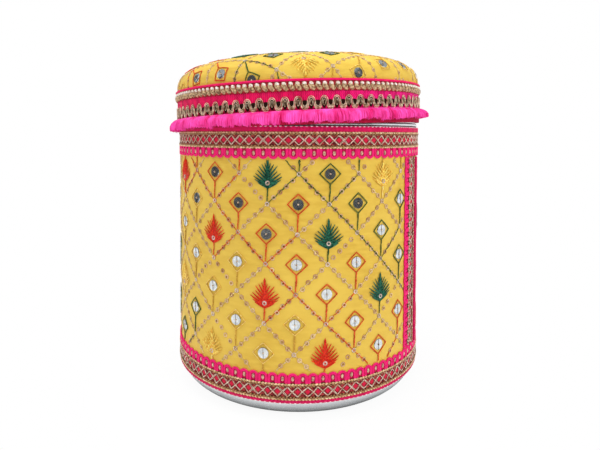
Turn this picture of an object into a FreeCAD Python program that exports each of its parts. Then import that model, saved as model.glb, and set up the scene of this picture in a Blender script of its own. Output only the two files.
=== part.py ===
import FreeCAD, Part
import math
import os

# Covered canister with a padded lift-off lid. Millimetres, +Z up, origin at the middle of the base,
# front towards -Y. Angles round the can are counted from the front towards +X.

# Aluminium can
CAN_RADIUS = 79.0
CAN_HEIGHT = 178.0
CAN_WALL = 0.8
CAN_CORNER_RADIUS = 11.5
CAN_CURL_RADIUS = 1.2
CAN_NECK = 16.4  # bare metal above the cloth, mostly inside the lid
BASE_RING_WIDTH = 4.0
BASE_RECESS = 2.5
BASE_STEP_WIDTH = 3.0
BEAD_REACH = 0.9  # swaged bead just above the cloth
BEAD_WIDTH = 2.4
BEAD_GAP = 0.3

# Embroidered cloth round the can
GLUE = 0.08  # glue line between layers
WRAP_FOOT = 10.2  # the cloth ends where the can's corner starts to round
WRAP_THICKNESS = 0.92
WRAP_SEAM_GAP = 1.0
SEAM_ANGLE = 52.8  # where the loops of the seam lace end, right of the front
MIRROR_RADIUS = 3.2
MIRROR_THICKNESS = 0.3
MOTIF_STEP_ROUND = 17.07
MOTIF_STEP_DOWN = 16.46
MOTIF_SLIP = 0.4  # sideways drift from one row to the next
MOTIF_TOP_DROP = 8.0  # first row of motifs below the loops of the rim lace
MOTIF_START = 0.24  # arc from the front to the first column

# Lace: ribbed piping, gold cord, crossed gold threads on a tape, gold cord, loops
TAPE_THICKNESS = 0.3
PIPING_WIDTH = 3.0
BASE_TRIM = 1.2  # cut off the piping edge of the base lace
PIPING_THICKNESS = 0.35
CORD_WIDTH = 1.9
CORD_THICKNESS = 0.65
LATTICE_WIDTH = 5.4
LATTICE_PITCH = 5.5
THREAD_WIDTH = 0.7
THREAD_THICKNESS = 0.22
LOOP_LENGTH = 5.7
LOOP_PITCH = 5.5
LOOP_STRAND = 1.3
LOOP_THICKNESS = 0.9
LOOP_GAP = 0.25

# Lid, in its own level frame: origin at the middle of the skirt's lower edge
LID_TILT = 2.0  # the lid sits a little askew, right side up
LID_SEAT_GAP = 0.3
LID_SKIRT_GAP = 0.5  # from the skirt's low side to the cloth of the can
LID_CLEARANCE = 0.35
LID_WALL = 0.4
LID_DEPTH = 19.0
LID_CORNER_RADIUS = 2.5
COVER_THICKNESS = 0.3
COVER_HEM = 0.4
DOME_RISE = 21.5
DOME_POWER = 3.1  # 2 is an ellipse, larger is squarer at the shoulder
RIBBON_WIDTH = 9.5
RIBBON_THICKNESS = 0.3
ROPE_WIDTH = 5.2
ROPE_THICKNESS = 1.3
LID_PIPING_RADIUS = 0.65
FRINGE_TOP = 8.8
FRINGE_DROP = 8.7
FRINGE_REACH = 6.2
FRINGE_ROOT = 0.8
FRINGE_LIP = 2.4  # height of the rounded lower edge
ARCH_PITCH = 7.0
ARCH_WIDTH = 5.6
ARCH_HEIGHT = 4.6
ARCH_STRAND = 1.1
ARCH_THICKNESS = 0.6
ARCH_LINK_WIDTH = 4.6
ARCH_LINK_HEIGHT = 2.4
ARCH_GAP = 0.1
LID_MOTIF_SIDE = 4.3  # place of the front leaf on the cloth, from the top of the dome
LID_MOTIF_FRONT = 82.85
LID_MOTIF_TURN = 5.7
LID_MOTIF_EASE = 0.94  # the cloth is gathered a little over the dome

V = FreeCAD.Vector
UP = V(0, 0, 1)
ORIGIN = V(0, 0, 0)

# Heights and radii that follow
wrap_bottom = WRAP_FOOT
base_edge = wrap_bottom - BASE_TRIM
wrap_top = CAN_HEIGHT - CAN_NECK
wrap_inner = CAN_RADIUS + GLUE
wrap_outer = wrap_inner + WRAP_THICKNESS
bead_height = wrap_top + BEAD_GAP + BEAD_WIDTH / 2
tape_inner = wrap_outer + GLUE
tape_outer = tape_inner + TAPE_THICKNESS
trim_inner = tape_outer + GLUE
cord_outer = trim_inner + CORD_THICKNESS

# The lace from its piping edge to the tips of its loops
first_cord = PIPING_WIDTH
lattice_start = first_cord + CORD_WIDTH
second_cord = lattice_start + LATTICE_WIDTH
loop_start = second_cord + CORD_WIDTH
lace_width = loop_start + LOOP_LENGTH
motif_top = wrap_top - lace_width - MOTIF_TOP_DROP

# Lid radii, from the bead that the skirt passes over, outwards
skirt_inner = CAN_RADIUS + BEAD_REACH + LID_CLEARANCE
skirt_outer = skirt_inner + LID_WALL
cover_inner = skirt_outer + GLUE
cover_outer = cover_inner + COVER_THICKNESS
ribbon_inner = cover_outer + GLUE
ribbon_outer = ribbon_inner + RIBBON_THICKNESS
lid_trim_inner = ribbon_outer + GLUE
panel_top = LID_DEPTH + LID_WALL
rope_bottom = FRINGE_TOP + RIBBON_WIDTH
rope_top = rope_bottom + ROPE_WIDTH
dome_spring = rope_top + LID_PIPING_RADIUS

# The tilted lid rests on the curled rim at its low side, where its skirt ends above the cloth of the can
tilt = math.radians(LID_TILT)
lid_contact = CAN_RADIUS - CAN_CURL_RADIUS
lid_height = CAN_HEIGHT + LID_SEAT_GAP + lid_contact * math.tan(tilt) - LID_DEPTH / math.cos(tilt)
low_side = lid_height - skirt_outer * math.sin(tilt)
skirt_foot = (wrap_top + LID_SKIRT_GAP - low_side) / math.cos(tilt)
cover_foot = skirt_foot + COVER_HEM


def line(a, b):
    return Part.LineSegment(a, b).toShape()


def arc(a, middle, b):
    return Part.Arc(a, middle, b).toShape()


def at(radius, height):
    return V(radius, 0, height)


def face_of(edges):
    return Part.Face(Part.Wire(edges))


def polygon(points):
    return face_of([line(a, b) for a, b in zip(points, points[1:] + points[:1])])


def turned(face, start=0.0, sweep=360.0):
    """Revolve a face of the XZ plane about Z; start is counted from the front towards +X."""
    face = face.copy()
    face.rotate(ORIGIN, UP, start - 90.0)
    return face.revolve(ORIGIN, UP, sweep)


def band_face(inner, outer, low, high):
    return polygon([at(inner, low), at(outer, low), at(outer, high), at(inner, high)])


def cord_face(inner, outer, low, high):
    crown = at(outer, (low + high) / 2)
    return face_of([arc(at(inner, low), crown, at(inner, high)), line(at(inner, high), at(inner, low))])


def disc(radius, thickness, spot):
    piece = Part.makeCylinder(radius, thickness)
    piece.Placement = spot
    return piece


def frame_at(place, x_axis, normal):
    return FreeCAD.Placement(place, FreeCAD.Rotation(x_axis, normal.cross(x_axis), normal, "ZXY"))


def around(angle):
    """Outward and sideways directions at an angle in radians from the front."""
    outward = V(math.sin(angle), -math.cos(angle), 0)
    sideways = V(math.cos(angle), math.sin(angle), 0)
    return outward, sideways


def can_shell():
    bead_low = bead_height - BEAD_WIDTH / 2
    bead_high = bead_height + BEAD_WIDTH / 2
    inside = CAN_RADIUS - CAN_WALL
    corner = CAN_RADIUS - CAN_CORNER_RADIUS
    ring = corner - BASE_RING_WIDTH
    panel = ring - BASE_STEP_WIDTH
    curl = CAN_CURL_RADIUS
    curl_x = CAN_RADIUS - curl
    curl_z = CAN_HEIGHT - curl
    curl_end = curl_z - math.sqrt(curl ** 2 - (curl - CAN_WALL) ** 2)
    slant = math.sqrt(0.5)
    bend = CAN_CORNER_RADIUS - CAN_WALL
    edges = [
        line(at(0, BASE_RECESS), at(panel, BASE_RECESS)),
        line(at(panel, BASE_RECESS), at(ring, 0)),
        line(at(ring, 0), at(corner, 0)),
        arc(at(corner, 0),
            at(corner + CAN_CORNER_RADIUS * slant, CAN_CORNER_RADIUS * (1 - slant)),
            at(CAN_RADIUS, CAN_CORNER_RADIUS)),
        line(at(CAN_RADIUS, CAN_CORNER_RADIUS), at(CAN_RADIUS, bead_low)),
        arc(at(CAN_RADIUS, bead_low), at(CAN_RADIUS + BEAD_REACH, bead_height), at(CAN_RADIUS, bead_high)),
        line(at(CAN_RADIUS, bead_high), at(CAN_RADIUS, curl_z)),
        arc(at(CAN_RADIUS, curl_z), at(curl_x, CAN_HEIGHT), at(curl_x - curl, curl_z)),
        arc(at(curl_x - curl, curl_z),
            at(curl_x - curl * slant, curl_z - curl * slant),
            at(inside, curl_end)),
        line(at(inside, curl_end), at(inside, bead_high)),
        arc(at(inside, bead_high), at(inside + BEAD_REACH, bead_height), at(inside, bead_low)),
        line(at(inside, bead_low), at(inside, CAN_CORNER_RADIUS)),
        arc(at(inside, CAN_CORNER_RADIUS),
            at(corner + bend * slant, CAN_CORNER_RADIUS - bend * slant),
            at(corner, CAN_WALL)),
        line(at(corner, CAN_WALL), at(ring, CAN_WALL)),
        line(at(ring, CAN_WALL), at(panel, BASE_RECESS + CAN_WALL)),
        line(at(panel, BASE_RECESS + CAN_WALL), at(0, BASE_RECESS + CAN_WALL)),
        line(at(0, BASE_RECESS + CAN_WALL), at(0, BASE_RECESS)),
    ]
    return turned(face_of(edges))


def body_wrap():
    slit = math.degrees(WRAP_SEAM_GAP / wrap_outer)
    middle = SEAM_ANGLE + math.degrees(lace_width / 2 / wrap_outer)
    face = band_face(wrap_inner, wrap_outer, wrap_bottom, wrap_top)
    return turned(face, middle + slit / 2, 360.0 - slit)


def is_leaf(column, row):
    """Every other motif of every other row is a stitched leaf; the rest hold a mirror."""
    return row % 2 == 0 and (column + row) % 4 == 3


def wrap_mirrors():
    clear = base_edge + lace_width + MIRROR_RADIUS
    rows = int((motif_top - clear) // MOTIF_STEP_DOWN) + 1
    seam_front = math.radians(SEAM_ANGLE) * wrap_outer - MIRROR_RADIUS
    seam_back = seam_front + 2 * MIRROR_RADIUS + lace_width - 2 * math.pi * wrap_outer
    last = int((seam_front - MOTIF_START) // MOTIF_STEP_ROUND)
    pieces = []
    for row in range(rows):
        height = motif_top - row * MOTIF_STEP_DOWN
        column = last
        while True:
            arc_length = MOTIF_START + column * MOTIF_STEP_ROUND - row * MOTIF_SLIP
            if arc_length < seam_back:
                break
            if (column + row) % 2 == 1 and not is_leaf(column, row):
                outward, sideways = around(arc_length / wrap_outer)
                spot = outward * tape_inner + UP * height
                pieces.append(disc(MIRROR_RADIUS, MIRROR_THICKNESS, frame_at(spot, sideways, outward)))
            column -= 1
    return Part.makeCompound(pieces)


class RingLace:
    """Lace glued round the can; its piping edge is at a height and its loops point up or down."""

    def __init__(self, edge, direction, trim=0.0):
        self.edge = edge
        self.direction = direction
        self.trim = trim
        self.length = 2 * math.pi * wrap_outer

    def between(self, start, width):
        return sorted([self.edge + self.direction * start, self.edge + self.direction * (start + width)])

    def band(self, inner, outer, start, width):
        return turned(band_face(inner, outer, *self.between(start, width)))

    def cord(self, inner, outer, start, width):
        return turned(cord_face(inner, outer, *self.between(start, width)))

    def spot(self, along, across, radius):
        outward, sideways = around(along / wrap_outer)
        place = outward * radius + UP * (self.edge + self.direction * across)
        return frame_at(place, sideways * self.direction, outward)


class SeamLace:
    """The same lace standing over the cloth's seam, from the base lace to the rim lace."""

    def __init__(self, low, high):
        self.low = low
        self.length = high - low
        self.trim = 0.0
        self.edge = math.radians(SEAM_ANGLE) + lace_width / wrap_outer

    def band(self, inner, outer, start, width):
        left = math.degrees(self.edge - (start + width) / wrap_outer)
        face = band_face(inner, outer, self.low, self.low + self.length)
        return turned(face, left, math.degrees(width / wrap_outer))

    def cord(self, inner, outer, start, width):
        outward, sideways = around(self.edge - (start + width / 2) / wrap_outer)
        left = V(0, -width / 2, 0)
        right = V(0, width / 2, 0)
        section = face_of([arc(left, V(outer - inner, 0, 0), right), line(right, left)])
        turn = FreeCAD.Rotation(outward, sideways, UP, "ZXY")
        section.Placement = FreeCAD.Placement(outward * inner + UP * self.low, turn)
        return section.extrude(UP * self.length)

    def spot(self, along, across, radius):
        outward, sideways = around(self.edge - across / wrap_outer)
        return frame_at(outward * radius + UP * (self.low + along), UP, outward)


def loop(width, length, strand, thickness):
    """One U of braid lying flat: legs from y=0, bow at y=length."""
    half = width / 2
    bend = length - half
    hole = half - strand
    edges = [
        line(V(-half, 0, 0), V(-half, bend, 0)),
        arc(V(-half, bend, 0), V(0, length, 0), V(half, bend, 0)),
        line(V(half, bend, 0), V(half, 0, 0)),
        line(V(half, 0, 0), V(hole, 0, 0)),
        line(V(hole, 0, 0), V(hole, bend, 0)),
        arc(V(hole, bend, 0), V(0, bend + hole, 0), V(-hole, bend, 0)),
        line(V(-hole, bend, 0), V(-hole, 0, 0)),
        line(V(-hole, 0, 0), V(-half, 0, 0)),
    ]
    return face_of(edges).extrude(UP * thickness)


def placed(shape, spot):
    copy = shape.copy()
    copy.Placement = spot.multiply(shape.Placement)
    return copy


def lace_tape(lace):
    return lace.band(tape_inner, tape_outer, lace.trim, loop_start - lace.trim)


def lace_piping(lace):
    return lace.band(trim_inner, trim_inner + PIPING_THICKNESS, lace.trim, PIPING_WIDTH - lace.trim)


def lace_cords(lace):
    starts = (first_cord, second_cord)
    return Part.makeCompound([lace.cord(trim_inner, cord_outer, start, CORD_WIDTH) for start in starts])


def lace_lattice(lace):
    """Two families of slanting threads, one lying over the other."""
    count = round(lace.length / LATTICE_PITCH)
    pitch = lace.length / count
    slope = math.atan2(LATTICE_WIDTH, pitch)
    reach = (LATTICE_WIDTH - THREAD_WIDTH * math.cos(slope)) / math.sin(slope)
    threads = []
    for layer, side in enumerate((1, -1)):
        radius = trim_inner + layer * (THREAD_THICKNESS + GLUE)
        thread = Part.makeBox(reach, THREAD_WIDTH, THREAD_THICKNESS, V(-reach / 2, -THREAD_WIDTH / 2, 0))
        thread.rotate(ORIGIN, UP, side * math.degrees(slope))
        for index in range(count):
            middle = lattice_start + LATTICE_WIDTH / 2
            threads.append(placed(thread, lace.spot((index + 0.5) * pitch, middle, radius)))
    return Part.makeCompound(threads)


def lace_loops(lace):
    count = round(lace.length / LOOP_PITCH)
    pitch = lace.length / count
    one = loop(pitch - LOOP_GAP, LOOP_LENGTH, LOOP_STRAND, LOOP_THICKNESS)
    spots = [lace.spot((index + 0.5) * pitch, loop_start, tape_inner) for index in range(count)]
    return Part.makeCompound([placed(one, spot) for spot in spots])


def lid_shell():
    bend = skirt_outer - LID_CORNER_RADIUS
    inner_bend = LID_CORNER_RADIUS - LID_WALL
    bend_z = panel_top - LID_CORNER_RADIUS
    slant = math.sqrt(0.5)
    edges = [
        line(at(skirt_inner, skirt_foot), at(skirt_outer, skirt_foot)),
        line(at(skirt_outer, skirt_foot), at(skirt_outer, bend_z)),
        arc(at(skirt_outer, bend_z),
            at(bend + LID_CORNER_RADIUS * slant, bend_z + LID_CORNER_RADIUS * slant),
            at(bend, panel_top)),
        line(at(bend, panel_top), at(0, panel_top)),
        line(at(0, panel_top), at(0, LID_DEPTH)),
        line(at(0, LID_DEPTH), at(bend, LID_DEPTH)),
        arc(at(bend, LID_DEPTH),
            at(bend + inner_bend * slant, bend_z + inner_bend * slant),
            at(skirt_inner, bend_z)),
        line(at(skirt_inner, bend_z), at(skirt_inner, skirt_foot)),
    ]
    return turned(face_of(edges))


def dome_point(radius, rise, turn):
    """Point of the crowned outline; turn runs from 0 at the side to a quarter turn at the top."""
    power = 2.0 / DOME_POWER
    return at(radius * math.cos(turn) ** power, dome_spring + rise * math.sin(turn) ** power)


def dome_arcs(radius, rise, count=6):
    """Arcs of the crowned outline, from the side of the dome to its top."""
    step = math.pi / 4 / count
    points = [dome_point(radius, rise, step * index) for index in range(2 * count - 1)]
    arcs = [arc(*points[index:index + 3]) for index in range(0, 2 * count - 2, 2)]
    shoulder = points[-1]
    top = at(0, dome_spring + rise)
    drop = top.z - shoulder.z
    crown_radius = (shoulder.x ** 2 + drop ** 2) / (2 * drop)
    half = math.asin(shoulder.x / crown_radius) / 2
    middle = at(crown_radius * math.sin(half), top.z - crown_radius * (1 - math.cos(half)))
    return arcs + [arc(shoulder, middle, top)]


def lid_pad():
    bottom = panel_top + GLUE
    rise = DOME_RISE - COVER_THICKNESS - GLUE
    edges = [
        line(at(0, bottom), at(skirt_outer, bottom)),
        line(at(skirt_outer, bottom), at(skirt_outer, dome_spring)),
        *dome_arcs(skirt_outer, rise),
        line(at(0, dome_spring + rise), at(0, bottom)),
    ]
    return turned(face_of(edges))


def lid_cover():
    rise = DOME_RISE - COVER_THICKNESS
    edges = [
        line(at(cover_inner, cover_foot), at(cover_outer, cover_foot)),
        line(at(cover_outer, cover_foot), at(cover_outer, dome_spring)),
        *dome_arcs(cover_outer, DOME_RISE),
        line(at(0, dome_spring + DOME_RISE), at(0, dome_spring + rise)),
        *reversed(dome_arcs(cover_inner, rise)),
        line(at(cover_inner, dome_spring), at(cover_inner, cover_foot)),
    ]
    return turned(face_of(edges))


def dome_walk(steps=80):
    """Walk over the cloth from the top of the dome to its foot: distance, place and direction."""
    travelled = 0.0
    here = at(0, dome_spring + DOME_RISE)
    for edge in reversed(dome_arcs(cover_outer, DOME_RISE)):
        for there in list(reversed(edge.discretize(steps)))[1:]:
            stride = there - here
            travelled += stride.Length
            yield travelled, there, stride.normalize()
            here = there


def dome_spot(distance, angle):
    """Frame on the dome at a distance over the cloth from its top, and an angle from the front."""
    place, slope = next((place, slope) for travelled, place, slope in dome_walk() if travelled >= distance)
    outward, sideways = around(angle)
    along = outward * slope.x + UP * slope.z
    normal = along.cross(sideways)
    return frame_at(outward * place.x + UP * place.z + normal * GLUE, sideways, normal)


def lid_mirrors():
    """The lid's cloth has the same motifs, spread from a leaf at the front of the dome."""
    foot = max(travelled for travelled, place, slope in dome_walk())
    edge = foot - MIRROR_RADIUS - 2 * LID_PIPING_RADIUS
    columns = int(cover_outer // MOTIF_STEP_ROUND) + 2
    rows = int(2 * cover_outer // MOTIF_STEP_DOWN) + 4
    pieces = []
    turn = math.radians(LID_MOTIF_TURN)
    for row in range(-2, rows):
        for column in range(-columns, columns + 1):
            if (column + row) % 2 == 1 or is_leaf(column + 3, row):
                continue
            across = column * MOTIF_STEP_ROUND * LID_MOTIF_EASE
            back = row * MOTIF_STEP_DOWN * LID_MOTIF_EASE
            side = LID_MOTIF_SIDE + across * math.cos(turn) - back * math.sin(turn)
            front = LID_MOTIF_FRONT - across * math.sin(turn) - back * math.cos(turn)
            distance = math.hypot(side, front)
            if distance < edge:
                spot = dome_spot(distance, math.atan2(side, front))
                pieces.append(disc(MIRROR_RADIUS, MIRROR_THICKNESS, spot))
    return Part.makeCompound(pieces)


def lid_piping():
    centre = at(cover_outer + GLUE + LID_PIPING_RADIUS, rope_top + LID_PIPING_RADIUS)
    ring = Part.Circle(centre, V(0, 1, 0), LID_PIPING_RADIUS).toShape()
    return turned(face_of([ring]))


def lid_rope():
    inner = cover_outer + GLUE
    return turned(cord_face(inner, inner + ROPE_THICKNESS, rope_bottom, rope_top))


def lid_ribbon():
    return turned(band_face(ribbon_inner, ribbon_outer, FRINGE_TOP, rope_bottom))


def lid_loop_lace():
    """Gold arches standing on a row of hanging links."""
    count = round(2 * math.pi * lid_trim_inner / ARCH_PITCH)
    turn = 2 * math.pi / count
    arch = loop(ARCH_WIDTH, ARCH_HEIGHT, ARCH_STRAND, ARCH_THICKNESS)
    link = loop(ARCH_LINK_WIDTH, ARCH_LINK_HEIGHT, ARCH_STRAND, ARCH_THICKNESS)
    foot = FRINGE_TOP + ARCH_LINK_HEIGHT
    pieces = []
    for index in range(count):
        outward, sideways = around(index * turn)
        place = outward * lid_trim_inner + UP * (foot + ARCH_GAP)
        pieces.append(placed(arch, frame_at(place, sideways, outward)))
        outward, sideways = around((index + 0.5) * turn)
        place = outward * lid_trim_inner + UP * foot
        pieces.append(placed(link, frame_at(place, sideways * -1, outward)))
    return Part.makeCompound(pieces)


def fringe_tape():
    return turned(band_face(ribbon_inner, ribbon_outer, cover_foot, FRINGE_TOP))


def lid_fringe():
    """Cut pile that stands away from its tape and ends in a soft rounded edge."""
    root = lid_trim_inner
    tip = root + FRINGE_REACH
    bottom = FRINGE_TOP - FRINGE_DROP
    lip = bottom + FRINGE_LIP
    shoulder = at(root + FRINGE_REACH * 0.66, FRINGE_TOP - FRINGE_DROP * 0.3)
    edges = [
        line(at(root, FRINGE_TOP), at(root + FRINGE_ROOT, FRINGE_TOP)),
        arc(at(root + FRINGE_ROOT, FRINGE_TOP), shoulder, at(tip, lip)),
        arc(at(tip, lip),
            at(tip - FRINGE_LIP * 0.3, bottom + FRINGE_LIP * 0.3),
            at(tip - FRINGE_LIP, bottom)),
        line(at(tip - FRINGE_LIP, bottom), at(root, lip)),
        line(at(root, lip), at(root, FRINGE_TOP)),
    ]
    return turned(face_of(edges))


def lid_place():
    return FreeCAD.Placement(V(0, 0, lid_height), FreeCAD.Rotation(V(0, 1, 0), -LID_TILT))


def save(name, shape):
    shape.exportStep(os.path.join("parts", name + ".step"))


def main():
    os.makedirs("parts", exist_ok=True)
    save("can_shell", can_shell())
    save("body_wrap", body_wrap())
    save("wrap_mirrors", wrap_mirrors())
    laces = {
        "rim": RingLace(wrap_top, -1),
        "base": RingLace(base_edge, 1, BASE_TRIM),
        "seam": SeamLace(base_edge + lace_width + LOOP_GAP, wrap_top - lace_width - LOOP_GAP),
    }
    lace_pieces = {
        "tape": lace_tape,
        "piping": lace_piping,
        "cords": lace_cords,
        "lattice": lace_lattice,
        "loops": lace_loops,
    }
    for place, lace in laces.items():
        for piece, make in lace_pieces.items():
            save(f"{place}_lace_{piece}", make(lace))
    lid = lid_place()
    lid_pieces = [lid_shell, lid_pad, lid_cover, lid_mirrors, lid_piping, lid_rope, lid_ribbon,
                  lid_loop_lace, fringe_tape, lid_fringe]
    for make in lid_pieces:
        save(make.__name__, placed(make(), lid))


main()
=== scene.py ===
import bisect
import collections
import itertools
import math
import random

import bmesh
import bpy
from mathutils import Matrix, Vector, noise
from mathutils.bvhtree import BVHTree


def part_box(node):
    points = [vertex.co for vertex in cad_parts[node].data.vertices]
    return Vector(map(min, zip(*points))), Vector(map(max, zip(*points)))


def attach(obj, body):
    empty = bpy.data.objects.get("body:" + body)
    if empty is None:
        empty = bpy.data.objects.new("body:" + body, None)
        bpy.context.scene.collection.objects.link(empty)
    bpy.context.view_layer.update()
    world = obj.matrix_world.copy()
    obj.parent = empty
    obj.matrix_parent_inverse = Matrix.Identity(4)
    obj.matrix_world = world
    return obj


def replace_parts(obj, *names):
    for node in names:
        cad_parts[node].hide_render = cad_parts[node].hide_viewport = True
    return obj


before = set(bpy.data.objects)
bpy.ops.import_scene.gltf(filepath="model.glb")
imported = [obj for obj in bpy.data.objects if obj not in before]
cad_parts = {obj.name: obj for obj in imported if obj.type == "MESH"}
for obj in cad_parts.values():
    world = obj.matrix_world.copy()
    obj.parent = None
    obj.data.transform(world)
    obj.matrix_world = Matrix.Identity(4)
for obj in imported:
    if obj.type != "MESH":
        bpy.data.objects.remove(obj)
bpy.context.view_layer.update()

mm = 0.001
fullTurn = 2 * math.pi
quarterTurn = math.pi / 2
scene = bpy.context.scene


# materials

def plug(tree, node, values):
    # numbers, colours or other nodes' outputs into a node's inputs
    for key, value in dict(values).items():
        if isinstance(value, Tap):
            tree.links.new(value.socket, node.inputs[key])
        else:
            node.inputs[key].default_value = value


class Tap:
    # one node socket that can be reckoned with
    def __init__(self, tree, socket):
        self.tree = tree
        self.socket = socket

    def add(self, kind, settings=(), values=(), output=0):
        node = self.tree.nodes.new(kind)
        for name, value in dict(settings).items():
            setattr(node, name, value)
        plug(self.tree, node, values)
        return Tap(self.tree, node.outputs[output])

    def reckon(self, operation, *terms):
        return self.add("ShaderNodeMath", {"operation": operation}, dict(enumerate(terms)))

    def __add__(self, other):
        return self.reckon("ADD", self, other)

    def __sub__(self, other):
        return self.reckon("SUBTRACT", self, other)

    def __rsub__(self, other):
        return self.reckon("SUBTRACT", other, self)

    def __mul__(self, other):
        return self.reckon("MULTIPLY", self, other)

    def __truediv__(self, other):
        return self.reckon("DIVIDE", self, other)

    def wave(self, length):
        return self.reckon("SINE", self * (fullTurn / length)) * 0.5 + 0.5

    def limited(self, low, high):
        values = {"Value": self, "From Min": low, "From Max": high}
        return self.add("ShaderNodeMapRange", {"clamp": True}, values)

    def axis(self, index):
        return self.add("ShaderNodeSeparateXYZ", values={"Vector": self}, output=index)

    def scaled(self, *factors):
        return self.add("ShaderNodeVectorMath", {"operation": "MULTIPLY"}, {0: self, 1: factors})

    def specks(self, size, detail=2.0):
        values = {"Vector": self, "Scale": 1 / size, "Detail": detail}
        return self.add("ShaderNodeTexNoise", values=values)

    def blend(self, low, high):
        return self.add("ShaderNodeMix", {"data_type": "RGBA"}, {0: self, 6: low, 7: high}, 2)

    def bump(self, depth, strength):
        values = {"Height": self, "Distance": depth, "Strength": strength}
        return self.add("ShaderNodeBump", values=values)


def tone(code):
    # colour as it is seen, to the linear values that the nodes take
    parts = [int(code[at:at + 2], 16) / 255 for at in (0, 2, 4)]
    linear = [part / 12.92 if part < 0.04045 else ((part + 0.055) / 1.055) ** 2.4 for part in parts]
    return linear + [1.0]


def material(name, look, *settings):
    made = bpy.data.materials.new(name)
    made.use_nodes = True
    tree = made.node_tree
    place = Tap(tree, tree.nodes.new("ShaderNodeTexCoord").outputs["Object"])
    flat = place.add("ShaderNodeUVMap", {"uv_map": "flat"})
    plug(tree, tree.nodes["Principled BSDF"], look(place, flat, *settings))
    return made


def coat(colour, rough, specular=0.5, **more):
    return {"Base Color": colour, "Roughness": rough, "Specular IOR Level": specular, **more}


def clothLook(place, flat):
    along = flat.axis(0)
    across = flat.axis(1)
    weave = along.wave(0.62 * mm) * 0.5 + across.wave(0.55 * mm) * 0.5
    pull = place.scaled(1, 1, 3.5).specks(9 * mm, 3)
    patch = place.specks(45 * mm)
    dull = pull.limited(0.35, 0.7).blend(tone("d2a93a"), tone("e1bd4a"))
    height = weave * 0.25 + pull
    colour = patch.limited(0.3, 0.7).blend(dull, tone("e4c150"))
    return coat(colour, 0.72, 0.3, Normal=height.bump(0.35 * mm, 0.5)) | {"Sheen Weight": 0.05}


def streakLook(place, flat, dark, light, size, rough, metal=0.0, specular=0.5, grain=None,
               detail=2, edges=(0.35, 0.65)):
    # two tones in streaks; grain is the size and the strength of the bumps
    streak = place.specks(size * mm, detail).limited(*edges)
    values = coat(streak.blend(tone(dark), tone(light)), rough, specular, Metallic=metal)
    if grain:
        values["Normal"] = place.specks(grain[0] * mm).bump(0.1 * mm, grain[1])
    return values


def threadLook(place, flat, dark, light, shine=0.45):
    return streakLook(place, flat, dark, light, 0.9, shine, 0.0, 0.3, (0.35, 0.5))


def goldLook(place, flat, dark, light, size=0.8, metal=0.75):
    return streakLook(place, flat, dark, light, size, 0.34, metal, 0.5, (0.3, 0.4))


def dyedAndGlowing(dye, glow, rough, specular=0.15):
    # the dye colour is also given as a small emission, a painted glow that lifts the shade of these dyes
    return coat(dye, rough, specular) | {"Emission Color": dye, "Emission Strength": glow}


# glow is the strength of the painted glow from emission
def braidLook(place, flat, dark, light, rib=0.75, glow=0.05):
    ribs = flat.axis(0).wave(rib * mm)
    mottle = place.specks(2.4 * mm)
    dye = (ribs * 0.55 + mottle * 0.6).limited(0.15, 0.9).blend(tone(dark), tone(light))
    return dyedAndGlowing(dye, glow, 0.6) | {"Normal": (ribs + mottle * 0.4).bump(0.25 * mm, 0.6)}


def knitLook(place, flat):
    along = flat.axis(0)
    across = flat.axis(1)
    slant = across.wave(1.6 * mm) * (0.5 * mm)
    ribs = (along + slant).wave(1.15 * mm)
    mottle = place.specks(3 * mm)
    # darker upright streaks are painted shade of folds that the flat ribbon does not have
    foldShade = place.scaled(1, 1, 0.45).specks(3.2 * mm, 3)
    bright = place.axis(0).limited(0, 75 * mm).blend(tone("f2125e"), tone("ff269a"))
    dye = (ribs * 0.3 + foldShade * 0.8 + mottle * 0.2).limited(0.45, 0.8).blend(tone("a4023a"), bright)
    return dyedAndGlowing(dye, 0.1, 0.62) | {"Normal": ribs.bump(0.3 * mm, 0.7)}


def tapeLook(place, flat, dark, light):
    weave = flat.axis(0).wave(0.9 * mm) * 0.5 + flat.axis(1).wave(0.9 * mm) * 0.5
    mottle = place.specks(1.6 * mm)
    dye = (weave * 0.4 + mottle * 0.6).limited(0.2, 0.8).blend(tone(dark), tone(light))
    return coat(dye, 0.75, 0.15, Normal=weave.bump(0.2 * mm, 0.6))


def laceGroundLook(place, flat, pitch, middle, rise):
    # a red diamond in each mesh of the lattice and mottled brown round it
    along = flat.axis(0)
    gap = flat.axis(1) - middle
    off = along.reckon("PINGPONG", along, pitch / 2) / pitch + gap.reckon("ABSOLUTE", gap) / rise
    mottle = place.specks(1.1 * mm, 3)
    brown = mottle.limited(0.4, 0.6).blend(tone("4c080c"), tone("aa3a3a"))
    dye = (off + mottle * 0.2).limited(0.32, 0.4).blend(tone("cc0e3c"), brown)
    return dyedAndGlowing(dye, 0.08, 0.6, 0.2) | {"Normal": mottle.bump(0.2 * mm, 0.6)}


def fringeLook(place, flat):
    streak = place.scaled(1, 1, 0.12).specks(0.9 * mm)
    tuft = place.scaled(1, 1, 0.25).specks(6 * mm)
    dye = (streak * 0.3 + tuft * 0.9).limited(0.4, 0.8).blend(tone("dc0864"), tone("ff62cc"))
    return dyedAndGlowing(dye, 0.13, 0.55)


def aluminiumLook(place, flat):
    brush = place.scaled(1, 1, 14).specks(14 * mm, 4)
    blotch = place.specks(9 * mm, 3)
    colour = blotch.limited(0.3, 0.7).blend(tone("dadee1"), tone("e8ebed"))
    rough = brush.limited(0.2, 0.8) * 0.14 + 0.2
    return coat(colour, rough, Metallic=0.9, Normal=brush.bump(0.15 * mm, 0.25))


def foamLook(place, flat):
    cells = place.specks(1.4 * mm, 3)
    colour = cells.limited(0.3, 0.7).blend(tone("d8d2bc"), tone("efe9d6"))
    return coat(colour, 0.9, Normal=cells.bump(0.4 * mm, 0.6))


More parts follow.
